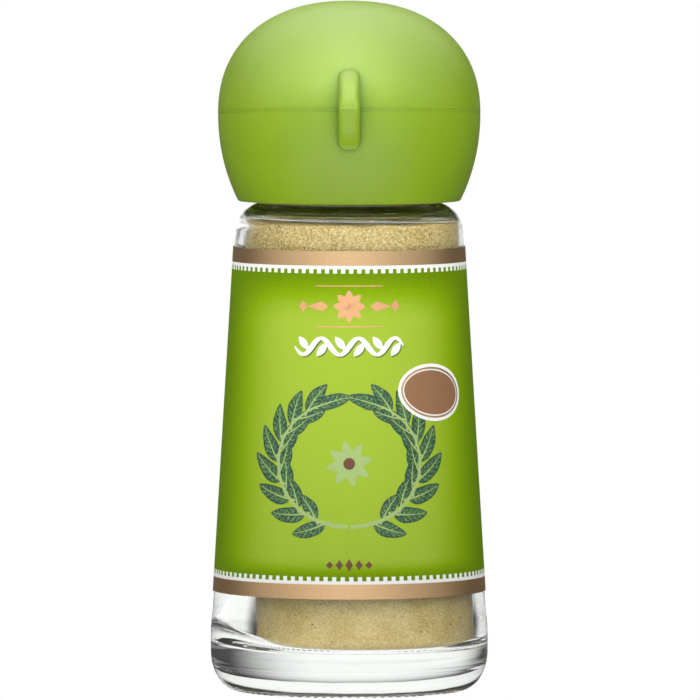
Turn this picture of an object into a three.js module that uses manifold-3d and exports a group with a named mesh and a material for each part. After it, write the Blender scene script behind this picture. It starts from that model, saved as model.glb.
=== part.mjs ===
// A table-top spice shaker: a tapered glass jar of ground sage with a wrap-round label, under a domed
// plastic cap. The cap screws on the jar's neck, and the upper half of its dome flips back over a
// sifter deck. Millimetres, +Z up. The origin is on the jar's axis, on the surface that the jar
// stands on, and the thumb tab is at the front, towards -Y.

import * as THREE from "three";
import { mergeVertices } from "three/addons/utils/BufferGeometryUtils.js";
import Module from "manifold-3d";

const wasm = await Module();
wasm.setup();

// ---- Driving dimensions ----

const SEGMENTS = 48; // round the axis
const OVERALL_HEIGHT = 106;

const jar = {
  bearingInnerR: 14.6, // the flat ring that the jar stands on
  bearingOuterR: 17.0,
  pushUp: 1.0, // how far the middle of the underside is raised
  pushUpRun: 2.2, // how wide the slope up to it is
  heelR: 21.3, // the widest place of the jar
  heelHeight: 6.0,
  heelTop: 8.4,
  waist: { r: 21.15, z: 10.0 }, // where the heel runs out into the panel
  panelBottom: { r: 21.0, z: 12.2 }, // the cone that carries the label
  panelTop: { r: 17.6, z: 69.2 },
  shoulder: { r: 12.9, z: 70.6, a: 4.6, b: 4.5 }, // ellipse: centre and half axes
  neckR: 12.6,
  rimZ: 85.2, // of the mouth
  rimRound: 0.7,
};

const cavity = {
  floorZ: 6.8,
  floorCornerR: 1.7,
  bottomR: 17.1,
  topR: 16.3,
  shoulder: { r: 14.2, z: 71.4, a: 2.1, b: 2.1 },
  boreR: 10.6,
  boreZ: 74.8,
  leanAtFloor: 1.8, // blown glass is thicker on one side: the cavity stands off the axis, towards +X
  leanAtShoulder: 0.35,
};

const thread = {
  pitch: 3.2,
  turns: 1.25,
  segments: 32, // in a whole turn
  fadeTurns: 0.1, // each end runs out over this much of a turn
  neckStartZ: 78.6,
  neckCrestR: 13.7,
  capCrestR: 12.95,
  capBelowNeck: 1.2, // the cap's ridge runs this far under the neck's
  rootHalfWidth: 0.75,
  crestHalfWidth: 0.35,
  rootSink: 0.35, // how far a ridge's root is sunk in its wall
};

const powder = { gap: 0.12, topZ: 71.9, crown: 0.5 };

const label = {
  bottomZ: 15.4,
  topZ: 68.3,
  thickness: 0.12,
  gap: 0.06,
  slitWidth: 2.4, // where the two ends stop short of each other, at the back
};

const dome = {
  equatorR: 20.15,
  equatorZ: 88.6,
  upperExponent: 2.25, // a little squarer than an ellipse
  lowerB: 25.0, // half height of the ellipse that the lower part follows
  rimZ: 75.3,
  wall: 1.5,
};

const seam = {
  z: 89.1,
  tiltDeg: 2.6, // the parting plane rises towards the front
  gap: 0.2,
  overrun: 3, // how far shapes are drawn past it before they are cut
};

const deck = {
  bottomZ: 86.4,
  topZ: 87.6,
  holeR: 1.1,
  holeRingR: 5.0,
  holesInRing: 6,
};

const skirt = { innerR: 13.95, outerR: 15.1, bottomZ: 76.4 };

const spigot = { innerR: 17.1, outerR: 18.2, height: 1.2 }; // the rim that the lid snaps over

const lidBoreR = 18.6;

const tab = {
  width: 3.3,
  cornerR: 1.2, // of its outline, seen from the front
  bevel: 0.6, // along its front edges
  reach: 22.4, // from the axis to its furthest point, at the seam
  topZ: 96.05,
  bottomZ: 83.85,
  draft: 0.4, // how far the hanging half draws in towards its lower end
  noseR: 1.3, // the rounding of that end, seen from the side
  clearance: 0.4, // between the hanging half and the cap below
};

const seal = { innerR: 10.9, outerR: 13.2, bottomZ: 85.35, topZ: 86.25 };

const hinge = {
  landY: 19.5, // the flat at the back of lid and cap that the web lies on
  webWidth: 9,
  webHeight: 4,
  webThickness: 0.4,
  webGap: 0.15,
};

// ---- Materials ----

const glassFinish = new THREE.MeshStandardMaterial({
  color: 0xeef3f0,
  roughness: 0.05,
  metalness: 0,
  transparent: true,
  opacity: 0.35,
});
const capFinish = new THREE.MeshStandardMaterial({ color: 0x93b93a, roughness: 0.35, metalness: 0 });
const labelFinish = new THREE.MeshStandardMaterial({ color: 0x94bf2c, roughness: 0.6, metalness: 0 });
const powderFinish = new THREE.MeshStandardMaterial({ color: 0xb9a15f, roughness: 1, metalness: 0 });
const sealFinish = new THREE.MeshStandardMaterial({ color: 0xf2f2ee, roughness: 0.7, metalness: 0 });

// ---- Solids ----

// A geometry as a manifold-3d solid, for cutting and joining.
function solidOf(geometry) {
  const bare = geometry.clone();
  bare.deleteAttribute("normal");
  bare.deleteAttribute("uv");
  const merged = mergeVertices(bare, 1e-4);
  return new wasm.Manifold(
    new wasm.Mesh({
      numProp: 3,
      vertProperties: merged.attributes.position.array,
      triVerts: new Uint32Array(merged.index.array),
    }),
  );
}

// A manifold-3d solid as a geometry.
function geometryOf(solid) {
  const mesh = solid.getMesh();
  const geometry = new THREE.BufferGeometry();
  geometry.setAttribute("position", new THREE.BufferAttribute(mesh.vertProperties, 3));
  geometry.setIndex(new THREE.BufferAttribute(mesh.triVerts, 1));
  geometry.computeVertexNormals();
  return geometry;
}

function meshOf(name, geometry, material) {
  const mesh = new THREE.Mesh(geometry, material);
  mesh.name = name;
  return mesh;
}

// A profile of [radius, z] pairs turned about +Z. It runs up the outside and down the inside.
// Angle 0 is at the front, -Y, and angles grow towards +X.
function turned(profile, segments = SEGMENTS, start = 0, sweep = 2 * Math.PI) {
  const points = profile.map(([r, z]) => new THREE.Vector2(r, z));
  return new THREE.LatheGeometry(points, segments, start, sweep).rotateX(Math.PI / 2);
}

function placedBox(width, depth, height, x, y, z) {
  return solidOf(new THREE.BoxGeometry(width, depth, height).translate(x, y, z));
}

function ringProfile(innerR, outerR, bottomZ, topZ) {
  return [
    [innerR, bottomZ],
    [outerR, bottomZ],
    [outerR, topZ],
    [innerR, topZ],
    [innerR, bottomZ],
  ];
}

// Points [r, z] on an ellipse, from one angle to another, in degrees from the +r direction.
function ellipseArc(centre, a, b, fromDeg, toDeg, steps) {
  const points = [];
  for (let i = 0; i <= steps; i += 1) {
    const t = THREE.MathUtils.degToRad(fromDeg + ((toDeg - fromDeg) * i) / steps);
    points.push([centre.r + a * Math.cos(t), centre.z + b * Math.sin(t)]);
  }
  return points;
}

// ---- Shapes that several pieces share ----

// The radius of the dome's outside, less an inset, at a height.
function domeRadius(z, inset = 0) {
  const a = dome.equatorR - inset;
  const height = z - dome.equatorZ;
  if (height <= 0) return a * Math.sqrt(1 - (height / dome.lowerB) ** 2);
  const b = OVERALL_HEIGHT - dome.equatorZ - inset;
  const share = Math.min(1, height / b);
  return a * (1 - share ** dome.upperExponent) ** (1 / dome.upperExponent);
}

// The dome's profile from a height to its top, closer together where it turns towards the top.
function domeProfile(fromZ, steps, inset = 0) {
  const top = OVERALL_HEIGHT - inset;
  const points = [];
  for (let i = 0; i <= steps; i += 1) {
    const z = fromZ + (top - fromZ) * Math.sin((Math.PI / 2) * (i / steps));
    points.push([i === steps ? 0 : domeRadius(z, inset), z]);
  }
  return points;
}

// All that lies under the tilted parting plane, raised by an offset, as a large box.
function underSeam(offset) {
  const size = OVERALL_HEIGHT;
  const box = new THREE.BoxGeometry(size, size, size);
  box.translate(0, 0, offset - size / 2);
  box.rotateX(-THREE.MathUtils.degToRad(seam.tiltDeg));
  box.translate(0, 0, seam.z);
  return solidOf(box);
}

// Where the parting plane is at a distance behind the axis.
function seamHeight(y) {
  return seam.z - y * Math.tan(THREE.MathUtils.degToRad(seam.tiltDeg));
}

// How far the jar's cavity stands off the axis at a height.
function lean(z) {
  if (z >= cavity.boreZ) return 0;
  if (z >= cavity.shoulder.z) {
    return (cavity.leanAtShoulder * (cavity.boreZ - z)) / (cavity.boreZ - cavity.shoulder.z);
  }
  const low = cavity.floorZ + cavity.floorCornerR;
  const share = Math.min(1, (cavity.shoulder.z - z) / (cavity.shoulder.z - low));
  return cavity.leanAtShoulder + (cavity.leanAtFloor - cavity.leanAtShoulder) * share;
}

// The cavity's wall from the middle of its floor up to a height in its shoulder.
function cavityWall(inset, topZ) {
  const corner = {
    r: cavity.bottomR - cavity.floorCornerR,
    z: cavity.floorZ + cavity.floorCornerR,
  };
  const cornerR = cavity.floorCornerR - inset;
  const { r, z, a, b } = cavity.shoulder;
  const endDeg = THREE.MathUtils.radToDeg(Math.asin(Math.min(1, (topZ - z) / (b - inset))));
  return [
    [0, cavity.floorZ + inset],
    ...ellipseArc(corner, cornerR, cornerR, -90, 0, 4),
    ...ellipseArc({ r, z }, a - inset, b - inset, 0, endDeg, 4),
  ];
}

// Leans the points of a turned shape that lie in the cavity's wall.
function leanWall(geometry, isWall) {
  const position = geometry.attributes.position;
  for (let i = 0; i < position.count; i += 1) {
    if (isWall(i)) position.setX(i, position.getX(i) + lean(position.getZ(i)));
  }
  return geometry;
}

// A screw ridge of trapezium section, right-handed, that runs out to nothing at both ends.
// Its root is at rootR and its crest at crestR; startZ is the height of its middle at the front.
function threadRidge(rootR, crestR, startZ) {
  const { rootHalfWidth: root, crestHalfWidth: crest, turns, pitch, fadeTurns } = thread;
  const section = [
    [rootR, -root],
    [crestR, -crest],
    [crestR, crest],
    [rootR, root],
    [rootR, -root],
  ];
  if (crestR < rootR) section.reverse();
  const steps = Math.round(turns * thread.segments);
  const geometry = turned(section, steps, 0, turns * 2 * Math.PI);
  const position = geometry.attributes.position;
  for (let i = 0; i < position.count; i += 1) {
    const [r, z] = section[i % section.length];
    const turn = (Math.floor(i / section.length) / steps) * turns;
    const fade = Math.min(1, turn / fadeTurns, (turns - turn) / fadeTurns);
    const radius = rootR + (r - rootR) * fade;
    const angle = turn * 2 * Math.PI;
    const height = startZ + turn * pitch + z * fade;
    position.setXYZ(i, radius * Math.sin(angle), -radius * Math.cos(angle), height);
  }
  return solidOf(geometry);
}

// ---- Jar and contents ----

function makeJar() {
  const { heelR, heelHeight, bearingInnerR, bearingOuterR, waist, shoulder, neckR } = jar;
  const heel = { r: bearingOuterR, z: heelHeight };
  const outside = [
    [0, jar.pushUp],
    [bearingInnerR - jar.pushUpRun, jar.pushUp],
    [bearingInnerR, 0],
    ...ellipseArc(heel, heelR - bearingOuterR, heelHeight, -90, 0, 5),
    [heelR, jar.heelTop],
    [waist.r, waist.z],
    [jar.panelBottom.r, jar.panelBottom.z],
    [jar.panelTop.r, jar.panelTop.z],
    ...ellipseArc(shoulder, shoulder.a, shoulder.b, 5, 85, 5),
    [neckR, shoulder.z + shoulder.b],
    [neckR, jar.rimZ - jar.rimRound],
    [neckR - jar.rimRound, jar.rimZ],
  ];
  const bore = [
    [cavity.boreR + jar.rimRound, jar.rimZ],
    [cavity.boreR, jar.rimZ - jar.rimRound],
    [cavity.boreR, cavity.boreZ],
  ];
  const topOfShoulder = cavity.shoulder.z + cavity.shoulder.b * 0.96;
  const inside = [...bore, ...cavityWall(0, topOfShoulder).reverse()];
  const profile = [...outside, ...inside];
  const body = leanWall(turned(profile), (i) => i % profile.length >= outside.length);
  const ridge = threadRidge(neckR - thread.rootSink, thread.neckCrestR, thread.neckStartZ);
  return meshOf("jar", geometryOf(solidOf(body).add(ridge)), glassFinish);
}

function makePowder() {
  const wall = cavityWall(powder.gap, powder.topZ);
  const edgeR = wall[wall.length - 1][0];
  const heap = { r: 0, z: powder.topZ };
  const profile = [...wall, ...ellipseArc(heap, edgeR, powder.crown, 30, 90, 2)];
  return meshOf("ground_sage", leanWall(turned(profile), () => true), powderFinish);
}

// ---- Label ----

function panelRadius(z) {
  const { panelBottom, panelTop } = jar;
  const share = (z - panelBottom.z) / (panelTop.z - panelBottom.z);
  return panelBottom.r + (panelTop.r - panelBottom.r) * share;
}

function makeLabel() {
  const bottomR = panelRadius(label.bottomZ) + label.gap;
  const topR = panelRadius(label.topZ) + label.gap;
  const sleeve = turned([
    [bottomR, label.bottomZ],
    [bottomR + label.thickness, label.bottomZ],
    [topR + label.thickness, label.topZ],
    [topR, label.topZ],
    [bottomR, label.bottomZ],
  ]);
  const slit = placedBox(label.slitWidth, 10, 80, 0, bottomR, (label.bottomZ + label.topZ) / 2);
  return meshOf("label", geometryOf(solidOf(sleeve).subtract(slit)), labelFinish);
}

// ---- Cap ----

// The flat at the back, where lid and cap are joined: what lies behind it is cut off.
function behindLand() {
  return placedBox(60, 20, 60, 0, hinge.landY + 10, seam.z);
}

function makeCap() {
  const inside = [];
  const outside = [];
  const steps = 7;
  const overSeam = seam.z + seam.overrun;
  for (let i = 0; i <= steps; i += 1) {
    const z = dome.rimZ + ((overSeam - dome.rimZ) * i) / steps;
    outside.push([domeRadius(z), z]);
    const lower = dome.rimZ + ((deck.bottomZ - dome.rimZ) * i) / steps;
    inside.unshift([domeRadius(lower) - dome.wall, lower]);
  }
  const body = turned([
    [0, deck.bottomZ],
    [skirt.innerR, deck.bottomZ],
    [skirt.innerR, skirt.bottomZ],
    [skirt.outerR, skirt.bottomZ],
    [skirt.outerR, deck.bottomZ],
    ...inside,
    ...outside,
    [spigot.innerR, overSeam],
    [spigot.innerR, deck.topZ],
    [0, deck.topZ],
  ]);
  const rim = turned(ringProfile(spigot.innerR, spigot.outerR, deck.bottomZ, overSeam));
  const rootR = skirt.innerR + thread.rootSink;
  let solid = solidOf(body)
    .intersect(underSeam(-seam.gap / 2))
    .add(solidOf(rim).intersect(underSeam(spigot.height)))
    .add(threadRidge(rootR, thread.capCrestR, thread.neckStartZ - thread.capBelowNeck))
    .subtract(behindLand());
  for (const hole of sifterHoles()) solid = solid.subtract(hole);
  return meshOf("cap_base", geometryOf(solid), capFinish);
}

// One hole in the middle of the deck and a ring of them round it.
function sifterHoles() {
  const thickness = deck.topZ - deck.bottomZ;
  const middleZ = (deck.topZ + deck.bottomZ) / 2;
  const places = [[0, 0]];
  for (let i = 0; i < deck.holesInRing; i += 1) {
    const angle = (i / deck.holesInRing) * 2 * Math.PI;
    places.push([deck.holeRingR * Math.cos(angle), deck.holeRingR * Math.sin(angle)]);
  }
  return places.map(([x, y]) => {
    const drill = new THREE.CylinderGeometry(deck.holeR, deck.holeR, thickness * 3, 12);
    return solidOf(drill.rotateX(Math.PI / 2).translate(x, y, middleZ));
  });
}

function makeSeal() {
  const profile = ringProfile(seal.innerR, seal.outerR, seal.bottomZ, seal.topZ);
  return meshOf("seal_ring", turned(profile), sealFinish);
}

// ---- Lid ----

// The dome under the seam, grown all round by a clearance: where nothing of the lid may be.
function roomForCap(clearance) {
  const lowZ = tab.bottomZ - 1;
  const highZ = seam.z + seam.overrun;
  const steps = 6;
  const side = [];
  for (let i = 0; i <= steps; i += 1) {
    const z = lowZ + ((highZ - lowZ) * i) / steps;
    side.push([domeRadius(z) + clearance, z]);
  }
  const grown = solidOf(turned([[0, lowZ], ...side, [0, highZ]]));
  return grown.intersect(underSeam(seam.gap / 2));
}

// The tab from the side: distance from the axis along X, height along Y. Its bevel is still to
// come, so the outline is that much smaller all round.
function tabSide() {
  const { reach, topZ, bottomZ, bevel, draft, noseR } = tab;
  const rootR = domeRadius(topZ) - dome.wall;
  const front = reach - bevel;
  const top = topZ - bevel;
  const bottom = bottomZ + bevel;
  const side = new THREE.Shape();
  side.moveTo(rootR, top);
  side.quadraticCurveTo(front, top, front, seamHeight(-reach));
  side.lineTo(front - draft, bottom + noseR);
  side.quadraticCurveTo(front - draft, bottom, front - draft - noseR, bottom);
  side.lineTo(rootR, bottom);
  return side;
}

// The tab from the front: a bar with rounded corners, width along X, height along Y.
function tabFront() {
  const { width, topZ, bottomZ, cornerR } = tab;
  const halfWidth = width / 2;
  const front = new THREE.Shape();
  front.absarc(halfWidth - cornerR, topZ - cornerR, cornerR, 0, Math.PI / 2);
  front.absarc(cornerR - halfWidth, topZ - cornerR, cornerR, Math.PI / 2, Math.PI);
  front.absarc(cornerR - halfWidth, bottomZ + cornerR, cornerR, Math.PI, 1.5 * Math.PI);
  front.absarc(halfWidth - cornerR, bottomZ + cornerR, cornerR, 1.5 * Math.PI, 2 * Math.PI);
  return front;
}

// The thumb tab: rooted in the lid above the seam, with its lower half hanging over the cap.
function thumbTab() {
  const { width, bevel, reach, clearance } = tab;
  const bar = new THREE.ExtrudeGeometry(tabSide(), {
    depth: width - 2 * bevel,
    curveSegments: 6,
    bevelThickness: bevel,
    bevelSize: bevel,
    bevelSegments: 3,
  });
  bar.translate(0, 0, bevel - width / 2);
  bar.rotateX(Math.PI / 2).rotateZ(-Math.PI / 2);
  const outline = new THREE.ExtrudeGeometry(tabFront(), {
    depth: reach,
    curveSegments: 4,
    bevelEnabled: false,
  });
  outline.rotateX(Math.PI / 2).translate(0, -dome.wall, 0);
  return solidOf(bar).intersect(solidOf(outline)).subtract(roomForCap(clearance));
}

function makeLid() {
  const fromZ = seam.z - seam.overrun;
  const outer = solidOf(turned([[0, fromZ], ...domeProfile(fromZ, 12)]));
  const hollow = domeProfile(dome.equatorZ + 2, 8, dome.wall);
  const bore = solidOf(turned([[0, fromZ - 1], [lidBoreR, fromZ - 1], ...hollow]));
  const solid = outer
    .subtract(underSeam(seam.gap / 2))
    .subtract(behindLand())
    .add(thumbTab())
    .subtract(bore);
  return meshOf("lid", geometryOf(solid), capFinish);
}

// ---- Living hinge ----

function makeHingeWeb() {
  const { landY, webWidth, webHeight, webThickness, webGap } = hinge;
  const web = new THREE.BoxGeometry(webWidth, webThickness, webHeight);
  web.translate(0, landY + webGap + webThickness / 2, seamHeight(landY));
  return meshOf("hinge_web", web, capFinish);
}

// ---- Assembly ----

const shaker = new THREE.Group();
shaker.add(
  makeJar(),
  makePowder(),
  makeLabel(),
  makeSeal(),
  makeCap(),
  makeLid(),
  makeHingeWeb(),
);

export default shaker;
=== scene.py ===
import math
import random
from functools import partialmethod

import bpy
import numpy as np
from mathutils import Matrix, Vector, noise


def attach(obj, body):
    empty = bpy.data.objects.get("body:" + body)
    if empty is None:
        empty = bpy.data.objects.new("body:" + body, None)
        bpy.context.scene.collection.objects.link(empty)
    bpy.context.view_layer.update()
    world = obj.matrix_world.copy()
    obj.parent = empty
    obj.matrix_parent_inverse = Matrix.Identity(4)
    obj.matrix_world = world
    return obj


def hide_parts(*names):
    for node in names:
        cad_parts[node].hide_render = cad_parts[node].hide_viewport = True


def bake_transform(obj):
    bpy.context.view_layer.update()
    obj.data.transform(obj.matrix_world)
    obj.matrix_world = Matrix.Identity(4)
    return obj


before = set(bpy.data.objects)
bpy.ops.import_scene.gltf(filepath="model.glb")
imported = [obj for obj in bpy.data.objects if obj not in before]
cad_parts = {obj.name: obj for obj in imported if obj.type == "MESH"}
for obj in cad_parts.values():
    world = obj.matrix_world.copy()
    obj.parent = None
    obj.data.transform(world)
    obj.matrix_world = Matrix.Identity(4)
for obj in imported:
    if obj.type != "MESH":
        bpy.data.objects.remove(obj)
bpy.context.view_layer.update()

# Sizes are in millimetres, in the part's own frame, and MM takes them to Blender's metres.
# +Z is up, the jar's axis is the Z axis, and the front, with the thumb tab, is towards -Y.
MM = 0.001
TAU = 2 * math.pi

# ---- Sizes, as in the part's source. The cavity's were fitted again to the render. ----

OVERALL_HEIGHT = 106
PUSH_UP, PUSH_UP_R, BEARING_INNER_R, BEARING_OUTER_R = 1.0, 12.4, 14.6, 17.0
HEEL_R, HEEL_HEIGHT, HEEL_TOP = 21.3, 6.0, 8.4
PANEL_BOTTOM, PANEL_TOP = (21.0, 12.2), (17.6, 69.2)
SHOULDER, SHOULDER_AXES = (12.9, 70.6), (4.6, 4.5)
NECK_R, NECK_FOOT, RIM_Z, RIM_ROUND = 12.6, 75.1, 85.2, 0.7
FLOOR_Z, FLOOR_CORNER, LEFT_CORNER, CAVITY_BOTTOM_R = 6.8, 1.7, 3.8, 17.0
CAVITY_SHOULDER, CAVITY_SHOULDER_AXES = (14.4, 71.4), (2.1, 2.1)
BORE_R, BORE_Z = 10.6, 74.8
LEAN_AT_FLOOR, LEAN_AT_SHOULDER = 1.65, 0.33
PITCH, TURNS, FADE_TURNS = 3.2, 1.25, 0.1
NECK_START, NECK_CREST, CAP_CREST, CAP_BELOW_NECK = 78.6, 13.7, 12.95, 1.2
RIDGE_ROOT, RIDGE_CREST = 0.65, 0.35
LABEL_BOTTOM, LABEL_TOP, LABEL_GAP, LABEL_THICK, LABEL_SLIT = 15.4, 68.3, 0.06, 0.12, 2.4
EQUATOR_R, EQUATOR_Z, UPPER_POWER, LOWER_B, CAP_RIM_Z, WALL = 20.15, 88.6, 2.25, 25.0, 75.3, 1.5
SEAM_Z, SEAM_TILT = 89.1, math.radians(2.6)
DECK_BOTTOM, DECK_TOP, HOLE_R, HOLE_RING_R, HOLES_IN_RING = 86.4, 87.6, 1.1, 5.0, 6
SKIRT_INNER, SKIRT_OUTER, SKIRT_BOTTOM = 13.95, 15.1, 76.4
SPIGOT_INNER, SPIGOT_OUTER, SPIGOT_HEIGHT, LID_BORE = 17.1, 18.2, 1.2, 18.6
TAB_WIDTH, TAB_CORNER, TAB_REACH, TAB_TOP, TAB_BOTTOM = 3.3, 1.2, 22.4, 96.05, 83.85
SEAL_INNER, SEAL_OUTER, SEAL_BOTTOM, SEAL_TOP = 10.9, 13.2, 85.35, 86.25
LAND_Y, WEB_WIDTH, WEB_HEIGHT, WEB_Y, WEB_THICK = 19.5, 9.0, 4.0, 19.65, 0.4


# ---- Camera ----

CAMERA_X, CAMERA_DISTANCE, CAMERA_HEIGHT, AIM_Z, LENS = 0.00012, 1.8, 0.148, 0.0523, 603.0  # metres


def make_camera():
    camera = bpy.data.objects.new("camera", bpy.data.cameras.new("camera"))
    bpy.context.scene.collection.objects.link(camera)
    bpy.context.scene.camera = camera
    camera.data.lens = LENS
    camera.data.clip_start, camera.data.clip_end = 0.05, 100
    camera.location = (CAMERA_X, -CAMERA_DISTANCE, CAMERA_HEIGHT)
    sight = Vector((CAMERA_X, 0, AIM_Z)) - camera.location
    camera.rotation_euler = sight.to_track_quat("-Z", "Y").to_euler()


make_camera()


# ---- Meshes ----


def smooth(mesh, sharp_deg=40):
    """Shades a mesh smoothly, but for edges that turn by more than this."""
    mesh.shade_smooth()
    mesh.set_sharp_from_angle(angle=math.radians(sharp_deg))


def object_from(name, points, faces, sharp_deg=40):
    """A mesh object from points in millimetres and lists of point numbers, facing outwards."""
    points = np.asarray(points, float) * MM
    mesh = bpy.data.meshes.new(name)
    mesh.from_pydata(points.tolist(), [], faces)
    mesh.update()
    if signed_volume(mesh) < 0:
        mesh.flip_normals()
    smooth(mesh, sharp_deg)
    made = bpy.data.objects.new(name, mesh)
    bpy.context.scene.collection.objects.link(made)
    return made


def signed_volume(mesh):
    mesh.calc_loop_triangles()
    corners = np.array([t.vertices for t in mesh.loop_triangles])
    points = np.empty(len(mesh.vertices) * 3)
    mesh.vertices.foreach_get("co", points)
    a, b, c = points.reshape(-1, 3)[corners].transpose(1, 0, 2)
    return float((a * np.cross(b, c)).sum())


def grid_faces(rows, columns, loop_rows, loop_columns=True):
    """Quads over rows of points, each row joined to the next."""
    faces = []
    for i in range(rows if loop_rows else rows - 1):
        for j in range(columns if loop_columns else columns - 1):
            k, n = (i + 1) % rows, (j + 1) % columns
            faces.append((i * columns + j, i * columns + n, k * columns + n, k * columns + j))
    return faces


def solid_of_rings(name, rings, loop=False):
    """A closed solid through rings of points. Its two ends are closed by fans, or it joins itself."""
    rows, columns, _ = rings.shape
    points = rings.reshape(-1, 3)
    faces = grid_faces(rows, columns, loop)
    if not loop:
        points = np.vstack([points, rings[0].mean(0), rings[-1].mean(0)])
        first, last = rows * columns, rows * columns + 1
        for j in range(columns):
            n = (j + 1) % columns
            faces.append((first, n, j))
            faces.append((last, (rows - 1) * columns + j, (rows - 1) * columns + n))
    return object_from(name, points, faces)


def at(radius, angle, height, shift=0.0):
    """Points round the axis. Angle 0 is at the front, -Y, and angles grow towards +X."""
    radius, angle, height = np.broadcast_arrays(radius, angle, height)
    return np.stack([radius * np.sin(angle) + shift, -radius * np.cos(angle), height], -1)


def round_angles(columns):
    return np.linspace(0, TAU, columns, endpoint=False)


def all_round(profile, angles):
    """Points of radius and height, each repeated at every angle."""
    return np.asarray(profile)[..., None] + 0 * angles


def line(a, b, steps):
    """Points from a to b, without b."""
    return [np.add(a, np.subtract(b, a) * i / steps) for i in range(steps)]


def arc(centre, a, b, from_deg, to_deg, steps):
    """Points on an ellipse, both ends included."""
    turns = np.radians(np.linspace(from_deg, to_deg, steps + 1))
    return [(centre[0] + a * math.cos(t), centre[1] + b * math.sin(t)) for t in turns]


def curve(a, control, b, steps):
    """Points on a quadratic curve from a to b, without b."""
    t = np.linspace(0, 1, steps, endpoint=False)[:, None]
    a, control, b = map(np.asarray, (a, control, b))
    return list((1 - t) ** 2 * a + 2 * t * (1 - t) * control + t**2 * b)


def smoothstep(low, high, value):
    t = np.clip((value - low) / (high - low), 0, 1)
    return t * t * (3 - 2 * t)


def boolean(target, other, operation):
    """Joins or cuts target with other, which is removed."""
    cut = target.modifiers.new("cut", "BOOLEAN")
    cut.operation, cut.solver, cut.object = operation, "EXACT", other
    evaluated = target.evaluated_get(bpy.context.evaluated_depsgraph_get())
    mesh = bpy.data.meshes.new_from_object(evaluated)
    target.modifiers.clear()
    target.data = mesh
    bpy.data.objects.remove(other)
    smooth(mesh)


def add_attribute(piece, name, values):
    attribute = piece.data.attributes.new(name, "FLOAT", "POINT")
    attribute.data.foreach_set("value", np.asarray(values, np.float32))


# ---- Forms that several pieces share ----


def dome_radius(z, inset=0.0):
    """The radius of the cap's dome, less an inset, at each height."""
    z = np.asarray(z, float)
    a = EQUATOR_R - inset
    lower = a * np.sqrt(np.clip(1 - ((z - EQUATOR_Z) / LOWER_B) ** 2, 0, 1))
    share = np.clip((z - EQUATOR_Z) / (OVERALL_HEIGHT - EQUATOR_Z - inset), 0, 1)
    upper = a * (1 - share**UPPER_POWER) ** (1 / UPPER_POWER)
    return np.where(z < EQUATOR_Z, lower, upper)


def seam_height(radius, angle):
    """Where the tilted parting plane of lid and cap is: it rises towards the front."""
    return SEAM_Z + radius * np.cos(angle) * math.tan(SEAM_TILT)


def press_to_land(rings, softness=0.08):
    """Flattens what bulges past the hinge's land at the back, with a soft edge."""
    past = (rings[..., 1] - LAND_Y) / softness
    rings[..., 1] -= softness * np.logaddexp(0, past)
    return rings


def ridge_share(angle, height, start):
    """How far a screw ridge stands out at each place: 0 off it and 1 on its crest."""
    share = np.zeros(np.broadcast(angle, height).shape)
    for whole_turns in range(math.ceil(TURNS)):
        turn = np.mod(angle, TAU) / TAU + whole_turns
        fade = np.clip(np.minimum(turn, TURNS - turn) / FADE_TURNS, 0, 1)
        off = np.abs(height - start - PITCH * turn)
        flank = 1 - smoothstep(RIDGE_CREST, RIDGE_ROOT, off)
        share = np.maximum(share, flank * smoothstep(0, 1, fade))
    return share


def cone_radius(z):
    """The radius of the jar's panel, which carries the label."""
    share = (np.asarray(z, float) - PANEL_BOTTOM[1]) / (PANEL_TOP[1] - PANEL_BOTTOM[1])
    return PANEL_BOTTOM[0] + (PANEL_TOP[0] - PANEL_BOTTOM[0]) * share


def lean(z):
    """How far the jar's cavity stands off the axis, towards +X."""
    low = FLOOR_Z + FLOOR_CORNER
    heights = [low, CAVITY_SHOULDER[1], BORE_Z]
    return np.interp(z, heights, [LEAN_AT_FLOOR, LEAN_AT_SHOULDER, 0])


def cavity_wall(angles, inset, to_deg, steps):
    """Radius and height up the cavity, from its floor's edge into its shoulder.

    The corner at the floor is rounder on the left.
    """
    corner = FLOOR_CORNER + (LEFT_CORNER - FLOOR_CORNER) * np.clip(-np.sin(angles), 0, 1) ** 6
    a, b = (axis - inset for axis in CAVITY_SHOULDER_AXES)
    shoulder = all_round(arc(CAVITY_SHOULDER, a, b, 0, to_deg, steps), angles)
    foot = (CAVITY_BOTTOM_R - inset + 0 * angles, FLOOR_Z + corner)
    ease = corner - inset
    bottom = arc((foot[0] - ease, foot[1]), ease, ease, -90, 0, steps)[:-1]
    return np.array([*bottom, *line(foot, shoulder[0], steps), *shoulder])


# ---- Jar ----

KNURLS, KNURL_DEPTH = 82, 0.35
KNURL_INNER, KNURL_OUTER = (15.2, 16.0), (18.6, 17.6)  # the radii where the knurls fade in
MOULD_LINE_Z, MOULD_LINE_OUT, MOULD_LINE_SPREAD = 4.2, 0.035, 0.13
NECK_BEND = (13.3, 75.05)  # where the shoulder turns up into the neck


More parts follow.
